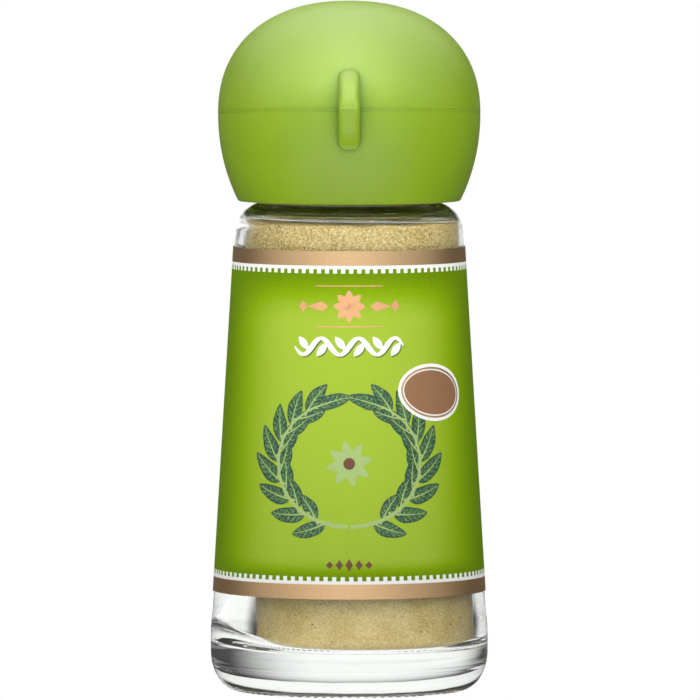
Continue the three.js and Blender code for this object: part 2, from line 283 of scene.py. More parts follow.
def jar_outside(angles):
    """Rings up the outside of the jar, with its knurled foot and its screw ridge."""
    waist = (HEEL_R, (HEEL_TOP + PANEL_BOTTOM[1]) / 2)
    heel = (BEARING_OUTER_R, HEEL_HEIGHT)
    profile = np.array([
        *line((0.5, PUSH_UP), (PUSH_UP_R, PUSH_UP), 6),
        *curve((PUSH_UP_R, PUSH_UP), (BEARING_INNER_R - 1, 0), (BEARING_INNER_R, 0), 6),
        *line((BEARING_INNER_R, 0), (BEARING_OUTER_R, 0), 6),
        *arc(heel, HEEL_R - BEARING_OUTER_R, HEEL_HEIGHT, -90, 0, 44),
        *line((HEEL_R, HEEL_HEIGHT + 0.5), (HEEL_R, HEEL_TOP), 3),
        *curve((HEEL_R, HEEL_TOP), waist, PANEL_BOTTOM, 6),
        *line(PANEL_BOTTOM, PANEL_TOP, 16),
        *arc(SHOULDER, *SHOULDER_AXES, 5, 80, 20),
        *curve(NECK_BEND, (NECK_R, NECK_FOOT), (NECK_R, NECK_FOOT + 0.6), 4),
        *line((NECK_R, NECK_FOOT + 0.6), (NECK_R, RIM_Z - RIM_ROUND), 56),
        *arc((NECK_R - RIM_ROUND, RIM_Z - RIM_ROUND), RIM_ROUND, RIM_ROUND, 0, 90, 5),
    ])
    radius, height = profile[:, :1], profile[:, 1:]
    on_foot = smoothstep(*KNURL_INNER, radius) * smoothstep(*KNURL_OUTER, radius) * (height < 1)
    knurl = KNURL_DEPTH * on_foot * (0.5 - 0.5 * np.cos(KNURLS * angles))
    ridge = ridge_share(angles, height, NECK_START) * (height > NECK_FOOT)
    mould_line = MOULD_LINE_OUT * np.exp(-(((height - MOULD_LINE_Z) / MOULD_LINE_SPREAD) ** 2))
    mould_line = mould_line * (radius > BEARING_OUTER_R)
    out = (NECK_CREST - NECK_R) * ridge + mould_line
    return at(radius + out, angles, height + knurl)


def jar_inside(angles):
    """Rings from the mouth down to the middle of the cavity's floor, a little uneven, as blown."""
    wall = cavity_wall(angles, 0, 80, 24)[::-1]
    top = wall[0, :, 0]
    neck = [
        *arc((BORE_R + RIM_ROUND, RIM_Z - RIM_ROUND), RIM_ROUND, RIM_ROUND, 90, 180, 5),
        *line((BORE_R, RIM_Z - 1.5), (BORE_R, BORE_Z + 0.8), 4),
        *curve((BORE_R, BORE_Z + 0.8), (BORE_R, top[1] + 0.2), top, 8),
    ]
    floor = line((CAVITY_BOTTOM_R - LEFT_CORNER - 1, FLOOR_Z), (0.5, FLOOR_Z), 8)
    profile = np.concatenate([all_round(neck, angles), wall, all_round(floor, angles)])
    radius, height = profile[:, 0], profile[:, 1]
    below_neck = smoothstep(BORE_Z, BORE_Z - 4, height)
    swell = 0.03 * np.sin(3 * angles + height / 5) + 0.02 * np.sin(5 * angles - height / 3)
    on_floor = smoothstep(FLOOR_Z + 2, FLOOR_Z, height) * smoothstep(0, 12, radius)
    dimple = (0.08 + 0.05 * np.sin(2 * angles + 1) + 0.02 * np.sin(5 * angles + radius)) * on_floor
    return at(radius + swell * below_neck, angles, height - dimple, lean(height))


def make_jar():
    angles = round_angles(KNURLS * 4)
    rings = np.concatenate([jar_outside(angles), jar_inside(angles)])
    return solid_of_rings("jar_glass", rings)


# ---- Ground sage ----

POWDER_GAP, POWDER_TOP, HEAP = 0.08, 71.9, 0.5


def make_powder():
    """The powder fills the cavity up to an uneven edge, and is a little heaped."""
    angles = round_angles(256)
    edge_deg = math.degrees(math.asin((POWDER_TOP - CAVITY_SHOULDER[1]) / CAVITY_SHOULDER_AXES[1]))
    wall = cavity_wall(angles, POWDER_GAP, edge_deg, 24)
    edge_r, edge_z = wall[-1, :, 0]
    heap = [(edge_r * s, edge_z + HEAP * (1 - s * s)) for s in np.linspace(0.97, 0.03, 16)]
    foot = FLOOR_Z + POWDER_GAP
    floor = line((0.5, foot), (CAVITY_BOTTOM_R - LEFT_CORNER - 1, foot), 6)
    profile = np.concatenate([all_round(floor, angles), wall, all_round(heap, angles)])
    radius, height = profile[:, 0], profile[:, 1]
    rings = at(radius, angles, height, lean(height))
    near_top = smoothstep(POWDER_TOP - 2.5, POWDER_TOP, height)
    settled = np.zeros(rings.shape[:2])
    for i, j in zip(*np.nonzero(near_top[:, :1] > 0 * angles)):
        spot = Vector(rings[i, j])
        settled[i, j] = 0.25 * noise.noise(spot / 4) + 0.1 * noise.noise(spot / 0.9)
    rings[..., 2] += settled * near_top
    return solid_of_rings("ground_sage_fill", rings)


def speck(points, faces, centre, size, draw):
    """Adds a small lopsided grain to a list of points and faces."""
    first = len(points)
    for axis in np.eye(3):
        for side in (-1, 1):
            points.append(centre + side * axis * size * draw.uniform(0.4, 1.0))
    for x in (0, 1):
        for y in (2, 3):
            for z in (4, 5):
                corner = (first + x, first + y, first + z)
                faces.append(corner[::-1] if (x + y + z) % 2 else corner)


def make_dust(inside=1400, ceiling=5000, bore=3000, outside=1200):
    """Specks of sage on the glass above the powder, in the bore, and outside by the foot of the neck."""
    draw = random.Random(7)
    points, faces = [], []
    a, b = (axis - 0.12 for axis in CAVITY_SHOULDER_AXES)
    # On the cavity's shoulder: how many, their turn up from the wall, their size and how far to the sides.
    zones = [
        (inside, (14, 60, 16), (0.03, 0.09), math.inf),
        (ceiling, (40, 88, 70), (0.05, 0.1), NECK_R),
    ]
    for count, turns_deg, sizes, reach in zones:
        for _ in range(count):
            turn, angle = math.radians(draw.triangular(*turns_deg)), draw.uniform(0, TAU)
            radius = CAVITY_SHOULDER[0] + a * math.cos(turn)
            height = CAVITY_SHOULDER[1] + b * math.sin(turn)
            if abs(radius * math.sin(angle)) < reach:
                centre = at(radius, angle, height, lean(height))
                speck(points, faces, centre, draw.uniform(*sizes), draw)
    for _ in range(bore):
        angle, up = draw.uniform(0, TAU), draw.triangular(BORE_Z + 0.4, BORE_Z + 4, BORE_Z + 0.6)
        speck(points, faces, at(BORE_R - 0.06, angle, up), draw.uniform(0.05, 0.12), draw)
    for _ in range(outside):
        radius = draw.triangular(NECK_R + 0.15, 14.4, 13.2)
        across = max(radius - SHOULDER[0], 0) / SHOULDER_AXES[0]
        height = SHOULDER[1] + SHOULDER_AXES[1] * math.sqrt(1 - across**2) if across else NECK_FOOT
        centre = at(radius, draw.uniform(0, TAU), height + 0.07)
        speck(points, faces, centre, draw.uniform(0.04, 0.11), draw)
    return object_from("sage_dust", points, faces, sharp_deg=10)


# ---- Label ----


def label_radius(z):
    return cone_radius(z) + LABEL_GAP + LABEL_THICK


LABEL_END = math.pi - LABEL_SLIT / 2 / label_radius(LABEL_BOTTOM)  # the angle of its ends, off the front


def label_sector(name, bottom, top, inner, outer, rows, steps=320):
    """A closed band on the label's cone, open at the slit at the back."""
    angles = np.linspace(-LABEL_END, LABEL_END, steps)
    heights = np.linspace(bottom, top, rows)
    heights = np.concatenate([heights, heights[::-1]])
    radius = cone_radius(heights) + np.repeat([outer, inner], rows)
    return solid_of_rings(name, at(radius, angles[:, None], heights))


INK_SINK, INK_LIFT, BAND_LIFT = 0.02, 0.02, 0.015


def print_on_label(name, points, faces, lift):
    """A thin solid of ink. points are (distance to the right of the front, height) on the label."""
    across, height = np.asarray(points, float).T
    outer = label_radius(height)
    angle = across / outer
    shape = np.vstack([at(outer + lift, angle, height), at(outer - INK_SINK, angle, height)])
    count = len(points)
    directed = {(f[i - 1], f[i]) for f in faces for i in range(len(f))}
    sides = [(b, a, a + count, b + count) for a, b in directed if (b, a) not in directed]
    under = [tuple(p + count for p in reversed(f)) for f in faces]
    return object_from(name, shape, [*map(tuple, faces), *under, *sides])


def add_print(name, shape, ink, lift=INK_LIFT):
    """Prints a shape of points and faces on the label in one of the inks."""
    finish_piece(print_on_label(name, *shape, lift), ink, "bottle")


def merged(shapes):
    """Several (points, faces) shapes as one."""
    points, faces = [], []
    for more_points, more_faces in shapes:
        first = len(points)
        points += [tuple(p) for p in more_points]
        faces += [tuple(first + i for i in f) for f in more_faces]
    return points, faces


def oval_edge(centre, a, b, tilt, spokes):
    """Points round an oval that is turned by tilt."""
    t = round_angles(spokes)
    x, y = a * np.cos(t), b * np.sin(t)
    x, y = x * math.cos(tilt) - y * math.sin(tilt), x * math.sin(tilt) + y * math.cos(tilt)
    return list(zip(centre[0] + x, centre[1] + y))


def oval(centre, a, b, tilt=0.0, rings=6, spokes=48):
    """A filled oval in rings."""
    points = [centre]
    for share in np.linspace(0, 1, rings + 1)[1:]:
        points += oval_edge(centre, a * share, b * share, tilt, spokes)
    faces = [(0, 1 + j, 1 + (j + 1) % spokes) for j in range(spokes)]
    faces += [tuple(1 + p for p in f[::-1]) for f in grid_faces(rings, spokes, False)]
    return points, faces


def oval_ring(centre, a, b, width, tilt=0.0, spokes=72):
    """A ring inside an oval's edge."""
    inner = oval_edge(centre, a - width, b - width, tilt, spokes)
    return oval_edge(centre, a, b, tilt, spokes) + inner, grid_faces(2, spokes, False)


def ribbon(path, widths):
    """A strip along a path, as wide at each point as widths says."""
    path, widths = np.asarray(path, float), np.asarray(widths, float)
    along = np.gradient(path, axis=0)
    along /= np.linalg.norm(along, axis=1)[:, None]
    side = np.stack([-along[:, 1], along[:, 0]], 1) * widths[:, None] / 2
    points = np.vstack([path + side, path, path - side])
    return points, [f[::-1] for f in grid_faces(3, len(path), False, False)]


def lozenge(centre, a, b, steps=8):
    """A diamond with slightly hollow sides."""
    xs = np.linspace(-a, a, 2 * steps + 1)
    widths = np.maximum(2 * b * (1 - abs(xs) / a) ** 1.25, 0.01)
    return ribbon([(centre[0] + x, centre[1]) for x in xs], widths)


def towards(heading):
    """A step of 1 mm in a direction, as x and y."""
    return np.array([math.cos(heading), math.sin(heading)])


def petal(base, heading, length, width, steps=10):
    """A pointed oval from its base towards a heading."""
    t = np.linspace(0, 1, steps + 1)
    widths = np.maximum(width * np.sin(np.pi * t) ** 0.8, 0.01)
    return ribbon(base + length * t[:, None] * towards(heading), widths)


def flower(centre, heading, length, width, petals=8):
    """Petals all round a centre, the first of them towards a heading."""
    return [petal(centre, TAU * i / petals + heading, length, width) for i in range(petals)]


# The label's border: a copper band, then a white line whose teeth point into the green.
BAND_HEIGHT, LINE_HEIGHT, TOOTH_HEIGHT = 2.25, 0.5, 0.65
TEETH_AT_TOP, TEETH_AT_BOTTOM, TOOTH_SHARE = 90, 98, 0.5


def toothed_line(edge, inward, teeth):
    """The white line from edge inwards (+1 up, -1 down), with its square teeth."""
    points, faces = [], []
    columns = 4 * teeth
    heights = [edge, edge + inward * LINE_HEIGHT, edge + inward * (LINE_HEIGHT + TOOTH_HEIGHT)]
    for angle in np.linspace(-LABEL_END, LABEL_END, columns, endpoint=False):
        points += [(angle * label_radius(z), z) for z in heights]
    for c in range(columns - 1):
        a, b = c * 3, (c + 1) * 3
        faces.append((a, b, b + 1, a + 1))
        if c % 4 < 4 * TOOTH_SHARE:
            faces.append((a + 1, b + 1, b + 2, a + 2))
    if inward < 0:
        faces = [f[::-1] for f in faces]
    return points, faces


def make_border():
    top, bottom = LABEL_TOP - BAND_HEIGHT, LABEL_BOTTOM + BAND_HEIGHT
    paper = LABEL_GAP + LABEL_THICK
    bands = [
        ("band_top", top, LABEL_TOP, "copper_band"),
        ("band_bottom", LABEL_BOTTOM, bottom, "brown_band"),
    ]
    for name, low, high, ink in bands:
        band = label_sector(name, low, high, paper - INK_SINK, paper + BAND_LIFT, rows=3)
        finish_piece(band, ink, "bottle")
    add_print("teeth_top", toothed_line(top, -1, TEETH_AT_TOP), "white_ink")
    add_print("teeth_bottom", toothed_line(bottom, 1, TEETH_AT_BOTTOM), "white_ink")


# ---- The wreath ----

WREATH_CENTRE, WREATH_AXES, LEAVES_OUTSIDE = (0.0, 36.0), (11.4, 9.6), 8


def leaf(base, heading, length, width, bend):
    """A leaf blade as points, faces, and each point's place along and across it."""
    rows, half_columns = 14, 4
    points, along, across = [], [], []
    spot, turn = np.array(base), heading
    for t in np.linspace(0, 1, rows + 1):
        side = towards(turn + math.pi / 2)
        wave = 1 + 0.05 * math.sin(9 * t + 2 * heading)
        half = max(width / 2 * math.sin(math.pi * min(1, t**0.8 * 0.98 + 0.01)) ** 0.75 * wave, 0.01)
        for share in np.linspace(-1, 1, 2 * half_columns + 1):
            points.append(spot + side * half * share)
            along.append(t)
            across.append(share)
        turn += bend / rows
        spot = spot + towards(turn) * length / rows
    faces = [f[::-1] for f in grid_faces(rows + 1, 2 * half_columns + 1, False, False)]
    return points, faces, along, across


def rib_of(base, heading, length, bend, width):
    """The leaf's midrib, with its stalk."""
    steps = 12
    turn = heading
    path = [base - towards(turn) * length * 0.14]
    for i in range(steps):
        turn += bend / steps if i else 0
        path.append(path[-1] + towards(turn) * length * 1.06 / steps)
    return ribbon(path, width * np.linspace(1, 0.2, steps + 1))


def wreath_point(t, side):
    """A place on one branch of the wreath, from the foot (0) to the tip (1), and its heading."""
    turn = math.radians(-86 + 150 * t)
    x, y = WREATH_AXES[0] * math.cos(turn), WREATH_AXES[1] * math.sin(turn)
    heading = math.atan2(WREATH_AXES[1] * math.cos(turn), -WREATH_AXES[0] * math.sin(turn))
    if side < 0:
        x, heading = -x, math.pi - heading
    return (WREATH_CENTRE[0] + x, WREATH_CENTRE[1] + y), heading


def wreath_leaves(side):
    """Base, heading, length, width and bend of each leaf of a branch."""
    leaves = []
    for i, t in enumerate(np.linspace(0.1, 0.94, LEAVES_OUTSIDE)):
        base, heading = wreath_point(t, side)
        size = 1.0 - 0.35 * abs(t - 0.45)
        spread = math.radians(46 - 14 * t)
        leaves.append((base, heading - side * spread, 6.4 * size, 2.7 * size, 0.35 * side))
        if i < LEAVES_OUTSIDE - 1:
            base, heading = wreath_point(t + 0.05, side)
            leaves.append((base, heading + side * spread, 5.4 * size, 2.4 * size, -0.35 * side))
    base, heading = wreath_point(1.0, side)
    leaves.append((base, heading, 5.6, 2.3, 0.2 * side))
    return leaves


def make_wreath():
    blades, ribs, stems = [], [], []
    along, across = [], []
    for side in (1, -1):
        for base, heading, length, width, bend in wreath_leaves(side):
            points, faces, t, s = leaf(base, heading, length, width, bend)
            blades.append((points, faces))
            along += t
            across += s
            ribs.append(rib_of(base, heading, length, bend, 0.3))
        path = [wreath_point(t, side)[0] for t in np.linspace(-0.02, 1.0, 40)]
        stems.append(ribbon(path, np.linspace(0.62, 0.3, 40)))
    blade = print_on_label("wreath_leaves", *merged(blades), INK_LIFT)
    add_attribute(blade, "along", along * 2)
    add_attribute(blade, "across", across * 2)
    finish_piece(blade, "leaf_ink", "bottle")
    add_print("wreath_stems", merged(stems), "pale_ink", lift=0.03)
    add_print("wreath_ribs", merged(ribs), "pale_ink", lift=0.04)
    middle = flower(WREATH_CENTRE, heading=0.2, length=3.6, width=1.5)
    add_print("wreath_flower", merged(middle), "pale_ink")
    eye = oval(WREATH_CENTRE, 0.9, 0.9, rings=2, spokes=24)
    add_print("wreath_eye", eye, "brown_ink", lift=0.035)


# ---- Ornaments and badge ----

ROSETTE_Z, RULE_OFF, RULE_HALF, RULE_WIDTH = 59.9, 3.1, 5.2, 0.16
SCROLL_Z, SCROLL_HALF, SCROLL_WAVE, SCROLL_RISE, SCROLL_TILT = 53.8, 8.6, 5.74, 1.25, math.radians(128)
LOZENGE_Z, LOZENGE_STEP, LOZENGE_HALF, LOZENGE_HEIGHTS = 20.6, 1.5, 0.62, (0.6, 0.8, 1.0, 0.8, 0.6)
BACK_PANEL_X, BACK_PANEL_Z, BACK_PANEL_R = (33, 56), (23, 60), 19.2


def make_top_ornament():
    """A copper rosette between tapered bars and lozenges, with a rule above and below."""
    shapes = flower((0.0, ROSETTE_Z), heading=0.0, length=2.5, width=1.25)
    bar = [3.3, 4.2, 6.3]
    for side in (1, -1):
        xs = np.linspace(bar[0], bar[-1], 12) * side
        widths = np.interp(abs(xs), bar, [0.2, 1.5, 0.25])
        shapes.append(ribbon([(x, ROSETTE_Z) for x in xs], widths))
        shapes.append(lozenge((7.2 * side, ROSETTE_Z), 0.75, 0.95))
    for side in (1, -1):
        rule = np.linspace(-RULE_HALF, RULE_HALF, 30)
        shapes.append(ribbon([(x, ROSETTE_Z + RULE_OFF * side) for x in rule], RULE_WIDTH + 0 * rule))
    add_print("rosette", merged(shapes), "copper_foil")


def scroll(dx, dz):
    """A running vine, moved by dx and dz: a wave with a drop-shaped leaf in each hollow."""
    xs = np.linspace(-SCROLL_HALF, SCROLL_HALF, 97)
    path = [(x + dx, SCROLL_Z + dz + SCROLL_RISE * math.sin(TAU * x / SCROLL_WAVE)) for x in xs]
    widths = 0.5 + 0.32 * np.abs(np.cos(TAU * xs / SCROLL_WAVE))
    widths *= np.clip((SCROLL_HALF + 0.3 - np.abs(xs)) / 1.5, 0.1, 1)
    shapes = [ribbon(path, widths)]
    for i in range(6):
        x = (i - 2.5) * SCROLL_WAVE / 2
        up = -1 if math.sin(TAU * x / SCROLL_WAVE) > 0 else 1
        base = (x + dx + 0.9, SCROLL_Z + dz - up * 0.55)
        shapes.append(petal(base, up * SCROLL_TILT, 2.6, 1.15))
    return merged(shapes)


def make_scroll():
    add_print("scroll_shadow", scroll(0.16, -0.18), "shadow_ink", lift=0.012)
    add_print("scroll", scroll(0, 0), "white_ink", lift=0.024)


def make_small_ornament():
    """A row of brown lozenges under the wreath."""
    shapes = []
    for i, height in enumerate(LOZENGE_HEIGHTS):
        shapes.append(lozenge(((i - 2) * LOZENGE_STEP, LOZENGE_Z), LOZENGE_HALF, height))
    add_print("lozenges", merged(shapes), "brown_ink")


BADGE_CENTRE, BADGE_AXES, BADGE_TILT = (14.0, 46.6), (6.4, 4.35), math.radians(-8)


def make_badge():
    """An oval badge: white rim, brown ring and copper-brown field."""
    a, b = BADGE_AXES
    ring = oval_ring(BADGE_CENTRE, a - 0.5, b - 0.5, 0.3, BADGE_TILT)
    field = oval(BADGE_CENTRE, a - 1.0, b - 1.0, BADGE_TILT)
    add_print("badge_rim", oval(BADGE_CENTRE, a, b, BADGE_TILT), "white_ink", lift=0.05)
    add_print("badge_ring", ring, "brown_band", lift=0.06)
    add_print("badge_field", field, "badge_ink", lift=0.06)


def make_back_panels():
    """Blank pale panels, one each side of the slit at the back."""
    for side in (1, -1):
        xs = np.linspace(*BACK_PANEL_X, 24) * side
        zs = np.linspace(*BACK_PANEL_Z, 16)
        points = [(x * label_radius(z) / BACK_PANEL_R, z) for z in zs for x in sorted(xs)]
        faces = grid_faces(len(zs), len(xs), False, False)
        name = "back_panel_" + ("right" if side > 0 else "left")
        add_print(name, (points, faces), "cream_ink")


# ---- Cap, lid, seal and hinge ----

SEAM_SHOWN = 0.008  # half the gap that shows between lid and cap
LID_EDGE = 0.05  # the radius of the lid's edge at the gap
BEAD_R, BEAD_OUT = 0.12, 0.045  # the bead along the cap's edge, and how far it stands out
CAP_RIM_EDGE, EASE = 0.12, 0.15  # how far the cap's lower rim and its other edges are eased


def shell(name, profile, angles):
    """A solid round the axis through a profile of radius and height, pressed flat at the hinge's land."""
    rings = [at(radius, angles, height) for radius, height in profile]
    return solid_of_rings(name, press_to_land(np.array(rings)))


def make_lid():
    angles = round_angles(256)
    foot = seam_height(EQUATOR_R, angles) + SEAM_SHOWN + LID_EDGE
    rise = np.sin(math.pi / 2 * np.linspace(0.999, 0, 44))
    profile = [(dome_radius(z), z) for z in foot + np.outer(rise, OVERALL_HEIGHT - foot)]
    profile += arc((dome_radius(foot) - LID_EDGE, foot), LID_EDGE, -LID_EDGE, 15, 90, 5)
    bore_start = seam_height(LID_BORE, angles) + SEAM_SHOWN
    profile += [(LID_BORE + 0.1, bore_start), (LID_BORE, bore_start + 0.1)]
    base, top = EQUATOR_Z + 2, OVERALL_HEIGHT - WALL
    rise = np.sin(math.pi / 2 * np.linspace(0, 1, 30))
    profile += [(dome_radius(z, WALL), z) for z in np.minimum(base + (top - base) * rise, top - 0.002)]
    lid = shell("lid_shell", profile, angles)
    boolean(lid, make_tab(), "UNION")
    return lid


TAB_BEAD, TAB_BEAD_SPREAD = 0.035, 0.1  # the parting line across the tab
# How far its foot is cut back and how high, its gap to the cap, its root in the lid and its lean.
TAB_NOSE, TAB_NOSE_HEIGHT, TAB_CLEAR, TAB_ROOTED, TAB_LEAN = 2.2, 2.9, 0.35, 0.8, 0.4


def make_tab():
    """The thumb tab, as a loft up its height. Its lower half hangs clear of the cap."""
    seam = SEAM_Z + TAB_REACH * math.tan(SEAM_TILT)
    reach = TAB_REACH - TAB_BEAD
    root = float(dome_radius(TAB_TOP)) - 0.3
    # The rings are closer together at both ends and at the seam.
    heights = np.concatenate([
        TAB_BOTTOM + 1.5 * (1 - np.cos(np.linspace(0.15, math.pi / 2, 14))),
        np.linspace(TAB_BOTTOM + 1.8, seam - 0.4, 14),
        np.linspace(seam - 0.25, seam + 0.25, 9),
        np.linspace(seam + 0.5, TAB_TOP - 1.8, 14),
        TAB_TOP - 1.5 + 1.5 * np.sin(np.linspace(0, math.pi / 2 - 0.1, 12)),
    ])
    rings = []
    for z in heights:
        end = min(z - TAB_BOTTOM, TAB_TOP - z)
        into = max(0.0, TAB_CORNER - end)
        width = TAB_WIDTH / 2 - TAB_CORNER + math.sqrt(max(TAB_CORNER**2 - into**2, 0.0))
        surface = float(dome_radius(z))
        if z >= seam:
            above = (z - seam) / (TAB_TOP - seam)
            front = root + (reach - root) * max(1 - above**1.8, 0.0) ** (1 / 1.8)
            round_off = 0.75 + 0.3 * smoothstep(0, 0.3, above)
            inner = surface - TAB_ROOTED
        else:
            below = (seam - z) / (seam - TAB_BOTTOM)
            under = max(0.0, 1 - (z - TAB_BOTTOM) / TAB_NOSE_HEIGHT)
            front = reach - TAB_LEAN * below - TAB_NOSE * under**1.6
            round_off = 0.75 + 0.5 * smoothstep(0, 0.5, below)
            inner = surface + TAB_CLEAR
        front += TAB_BEAD * math.exp(-(((z - seam) / TAB_BEAD_SPREAD) ** 2))
        front = max(front, inner + 0.25)
        round_off = min(round_off, width * 0.95, (front - inner) * 0.9)
        right = arc((width - round_off, front - round_off), round_off, round_off, 0, 90, 6)
        left = [(-x, y) for x, y in reversed(right)]
        path = [(width, inner), *right, *left, (-width, inner)]
        rings.append([(x, -y, z) for x, y in path])
    return solid_of_rings("tab", np.array(rings))


def make_cap():
    angles = round_angles(256)
    top = seam_height(EQUATOR_R, angles) - SEAM_SHOWN
    spigot_foot = seam_height(SPIGOT_OUTER, angles) - SEAM_SHOWN
    spigot_top = seam_height(SPIGOT_OUTER, angles) + SPIGOT_HEIGHT
    inner_top = seam_height(SPIGOT_INNER, angles) + SPIGOT_HEIGHT
    profile = [(r, DECK_BOTTOM) for r in np.linspace(0.5, SKIRT_INNER - 0.2, 8)]
    for z in np.linspace(DECK_BOTTOM - 0.2, SKIRT_BOTTOM + EASE, 56):
        ridge = ridge_share(angles, z, NECK_START - CAP_BELOW_NECK)
        profile.append((SKIRT_INNER - (SKIRT_INNER - CAP_CREST) * ridge, z))
    profile += [(SKIRT_INNER + EASE, SKIRT_BOTTOM), (SKIRT_OUTER - EASE, SKIRT_BOTTOM)]
    profile += [(SKIRT_OUTER, z) for z in np.linspace(SKIRT_BOTTOM + EASE, DECK_BOTTOM, 5)]
    profile += [(dome_radius(z) - WALL, z) for z in np.linspace(DECK_BOTTOM, CAP_RIM_Z + 0.1, 16)]
    profile.append((dome_radius(CAP_RIM_Z) - WALL + CAP_RIM_EDGE, CAP_RIM_Z))
    profile.append((dome_radius(CAP_RIM_Z) - CAP_RIM_EDGE, CAP_RIM_Z))
    below_bead = top - BEAD_R - math.sqrt(BEAD_R**2 - (BEAD_R - BEAD_OUT) ** 2)
    profile += [(dome_radius(z), z) for z in np.linspace(CAP_RIM_Z + CAP_RIM_EDGE, below_bead, 36)]
    bead_centre = dome_radius(top) + BEAD_OUT - BEAD_R
    for turn in np.radians([-40, -20, 0, 20, 40, 60, 75, 88]):
        profile.append((bead_centre + BEAD_R * math.cos(turn), top + BEAD_R * (math.sin(turn) - 1)))
    profile += [
        (SPIGOT_OUTER, spigot_foot),
        (SPIGOT_OUTER, spigot_top - EASE),
        (SPIGOT_OUTER - EASE, spigot_top),
        (SPIGOT_INNER + EASE, inner_top),
        (SPIGOT_INNER, inner_top - EASE),
        (SPIGOT_INNER, DECK_TOP + 0.3),
        (SPIGOT_INNER - 0.3, DECK_TOP),
    ]
    profile += [(r, DECK_TOP) for r in np.linspace(SPIGOT_INNER - 1, 0.5, 10)]
    cap = shell("cap_shell", profile, angles)
    boolean(cap, sifter_drills(), "DIFFERENCE")
    return cap


def sifter_drills():
    """The sifter's holes as one mesh of spools, which also ease the holes' edges."""
    ease, sides = 0.2, 40
    section = [
        (HOLE_R + 2 * ease, DECK_BOTTOM - ease),
        (HOLE_R, DECK_BOTTOM + ease),
        (HOLE_R, DECK_TOP - ease),
        (HOLE_R + 2 * ease, DECK_TOP + ease),
    ]
    faces = grid_faces(len(section), sides, False)
    faces += [tuple(reversed(range(sides))), tuple(range(3 * sides, 4 * sides))]
    spools = []
    for x, y in [(0, 0), *(HOLE_RING_R * towards(turn) for turn in round_angles(HOLES_IN_RING))]:
        points = []
        for radius, z in section:
            points += [(x + radius * math.cos(t), y + radius * math.sin(t), z) for t in round_angles(sides)]
        spools.append((points, faces))
    return object_from("drills", *merged(spools))


def make_seal():
    angles = round_angles(192)
    ease = 0.12
    inner, outer = SEAL_INNER + ease, SEAL_OUTER - ease
    low, high = SEAL_BOTTOM + ease, SEAL_TOP - ease
    profile = []
    for n, centre in enumerate([(outer, low), (outer, high), (inner, high), (inner, low)]):
        profile += arc(centre, ease, ease, -90 + 90 * n, 90 * n, 3)
    rings = np.array([at(r, angles, z) for r, z in profile])
    return solid_of_rings("liner", rings, loop=True)


FILM_HALF = 0.09  # half the thickness of the film that bends
WEB_MIDDLE_Y, WEB_MIDDLE_Z = WEB_Y + WEB_THICK / 2, SEAM_Z - WEB_Y * math.tan(SEAM_TILT)


def make_web():
    """The living hinge: a pad on each land, and a thin film between them that bends."""
    steps = np.linspace(-WEB_HEIGHT / 2, WEB_HEIGHT / 2, 41)
    pad = smoothstep(0.35, 0.8, np.abs(steps))
    rounding = 0.35 * smoothstep(WEB_HEIGHT / 2 - 0.4, WEB_HEIGHT / 2, np.abs(steps)) ** 2
    outside = WEB_MIDDLE_Y + FILM_HALF + (WEB_THICK / 2 - FILM_HALF) * pad - rounding
    inside = WEB_MIDDLE_Y - FILM_HALF - (WEB_MIDDLE_Y - FILM_HALF - LAND_Y + 0.02) * pad
    outline = [*zip(outside, steps), *zip(inside[::-1], steps[::-1])]
    # The strap is a little less high at its ends: how far in from the end, and the share of its height.
    ends = [(0, 0.925), (0.1, 0.985), (0.25, 1)]
    half = WEB_WIDTH / 2
    slices = [(inset - half, share) for inset, share in ends] + [(0, 1)]
    slices += [(half - inset, share) for inset, share in ends[::-1]]
    rings = [[(x, y, WEB_MIDDLE_Z + up * share) for y, up in outline] for x, share in slices]
    return solid_of_rings("hinge_strap", np.array(rings))


# ---- Materials ----


class Nodes:
    """A node tree, with short ways to add nodes to it."""

    def __init__(self, tree):
        self.tree = tree

    def add(self, kind, inputs=None, **settings):
        node = self.tree.nodes.new("ShaderNode" + kind)
        for key, value in settings.items():
            setattr(node, key, value)
        for key, value in (inputs or {}).items():
            self.put(node.inputs[key], value)
        return node

    def put(self, socket, value):
        if isinstance(value, bpy.types.NodeSocket):
            self.tree.links.new(value, socket)
        else:
            socket.default_value = value

    def math(self, operation, a, b=0.0, c=0.0):
        return self.add("Math", {0: a, 1: b, 2: c}, operation=operation).outputs[0]

    def remap(self, value, low, high, to_low=0.0, to_high=1.0, smooth=True):
        inputs = {"Value": value, "From Min": low, "From Max": high, "To Min": to_low, "To Max": to_high}
        kind = "SMOOTHSTEP" if smooth else "LINEAR"
        return self.add("MapRange", inputs, interpolation_type=kind).outputs[0]

    def mix(self, share, a, b, blend="MIX"):
        node = self.add("Mix", data_type="RGBA", blend_type=blend)
        for index, value in ((0, share), (6, a), (7, b)):
            self.put(node.inputs[index], value)
        return node.outputs[2]

    times = partialmethod(math, "MULTIPLY")
    plus = partialmethod(math, "ADD")
    larger = partialmethod(math, "MAXIMUM")
    size_of = partialmethod(math, "ABSOLUTE")

    def one_less(self, a, share=1.0):
        """1, less a share of a."""
        return self.math("MULTIPLY_ADD", a, -share, 1.0)

    def seen_through(self, path):
        """1 for what is seen through glass, and 0 for what the glass mirrors on its outside."""
        inside = self.times(path["Is Singular Ray"], self.math("GREATER_THAN", path["Ray Depth"], 1.5))
        return self.larger(path["Is Transmission Ray"], inside)

    def split(self, vector):
        return self.add("SeparateXYZ", {0: vector}).outputs


